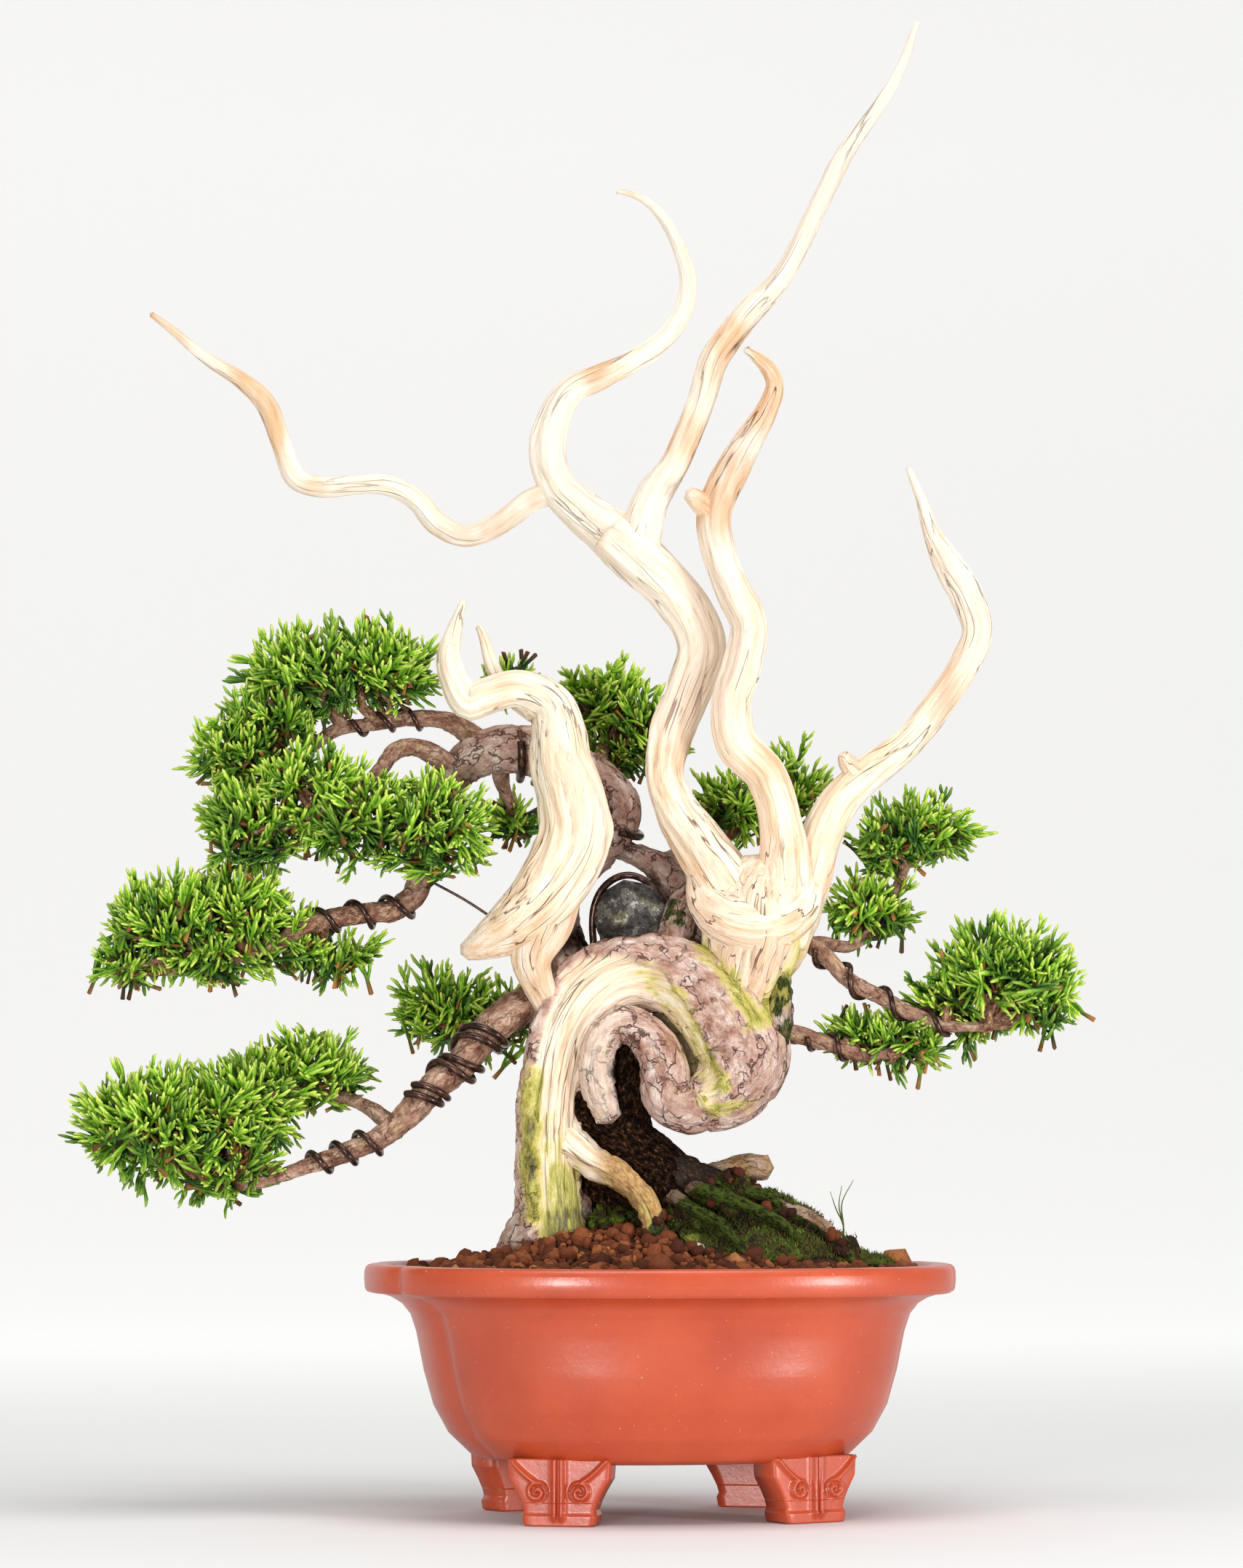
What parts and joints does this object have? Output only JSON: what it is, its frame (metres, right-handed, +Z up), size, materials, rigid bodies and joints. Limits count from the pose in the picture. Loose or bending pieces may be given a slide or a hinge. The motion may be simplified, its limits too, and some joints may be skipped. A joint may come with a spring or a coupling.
{
  "type": "juniper bonsai in a pot",
  "caption": "Old twisted juniper bonsai with bleached deadwood spires and wired foliage pads, planted in a shallow oval terracotta pot on scroll feet.",
  "frame": {"origin": "centre of the bounding box on the surface that the pot's feet stand on", "axes": "+Z up, +Y through the pot's short width away from the viewer, +X along the pot's length to the viewer's right"},
  "size_m": [0.352, 0.1598, 0.5183],
  "materials": {
    "terracotta": "unglazed satin clay",
    "akadama": "loose baked clay grains",
    "moss": "matte",
    "bark": "fissured bark",
    "deadwood": "bleached bare wood",
    "foliage": "scale leaves",
    "wire": "dark anodised",
    "mesh": "matte"
  },
  "bodies": {
    "root": {"pot": "terracotta", "foot_front_left": "terracotta", "foot_front_right": "terracotta", "foot_back_left": "terracotta", "foot_back_right": "terracotta", "drain_mesh_left": "mesh", "drain_mesh_right": "mesh", "soil": "akadama", "moss": "moss", "trunk_and_branches": "bark", "deadwood_crown": "deadwood", "deadwood_left": "deadwood", "wire_lowest_a": "wire", "wire_lowest_b": "wire", "wire_lowest_c": "wire", "wire_rear_low": "wire", "wire_rear_left": "wire", "wire_middle": "wire", "wire_upper_left": "wire", "wire_right_main": "wire", "wire_right_low": "wire", "guy_wire": "wire", "wire_stump": "wire", "foliage_upper_left": "foliage", "foliage_middle_left": "foliage", "foliage_lower_left": "foliage", "foliage_lowest": "foliage", "foliage_behind": "foliage", "foliage_crown_back": "foliage", "foliage_spray": "foliage", "foliage_hidden": "foliage", "foliage_back_right": "foliage", "foliage_right_high": "foliage", "foliage_right_middle": "foliage", "foliage_right": "foliage", "foliage_right_low": "foliage"}
  },
  "joints": []
}
